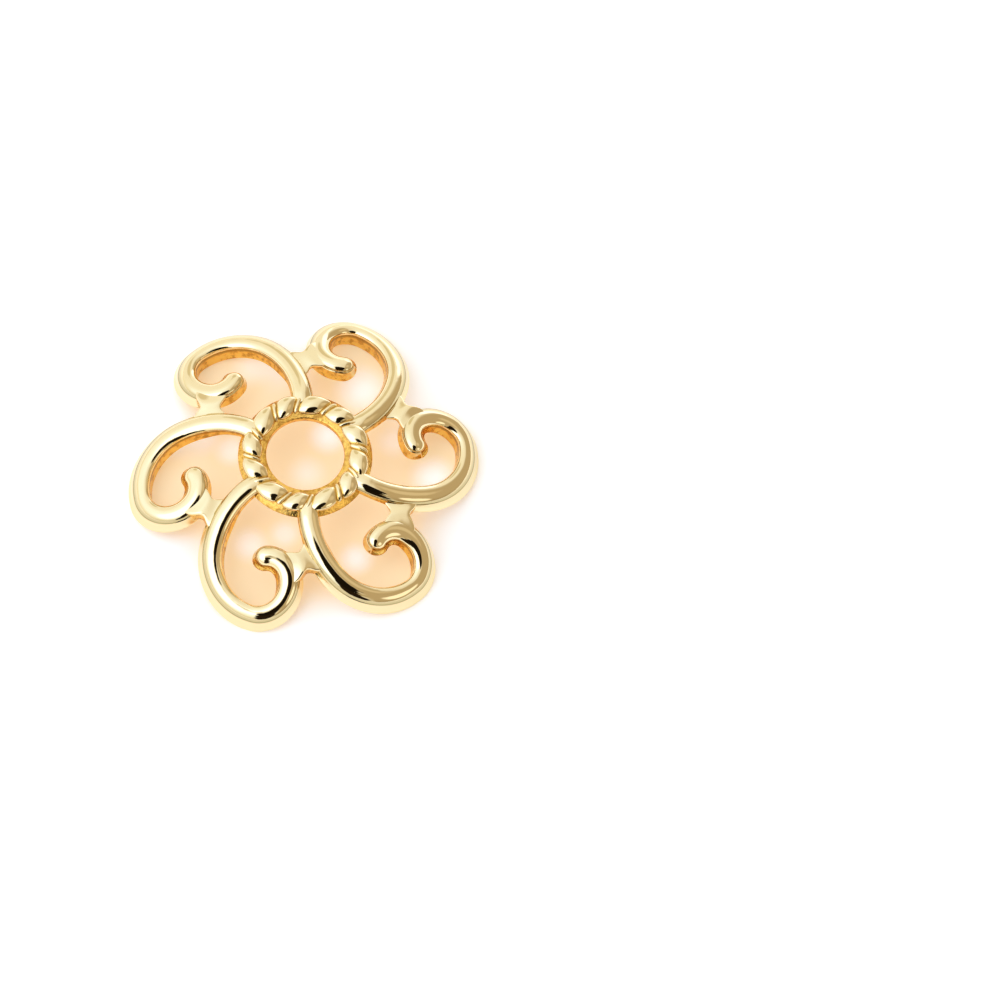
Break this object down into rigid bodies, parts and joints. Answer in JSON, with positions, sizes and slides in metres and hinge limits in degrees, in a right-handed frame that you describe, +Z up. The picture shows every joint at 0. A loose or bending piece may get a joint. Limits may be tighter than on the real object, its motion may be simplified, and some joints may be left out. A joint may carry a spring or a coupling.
{
  "type": "bead cap",
  "caption": "Domed openwork bead cap: scroll petals swirl out from a twisted rope ring with a round thread hole, cast in one piece.",
  "frame": {"origin": "on the axis of the hole, in the plane that the rim stands on", "axes": "+Z up along the axis of the hole, towards the rope ring; X and Y across the cap as in the picture"},
  "size_m": [0.015, 0.0152, 0.0028],
  "materials": {
    "gold_plate": "polished gold plate over cast brass"
  },
  "bodies": {
    "root": {"bead_cap": "gold_plate"}
  },
  "joints": []
}
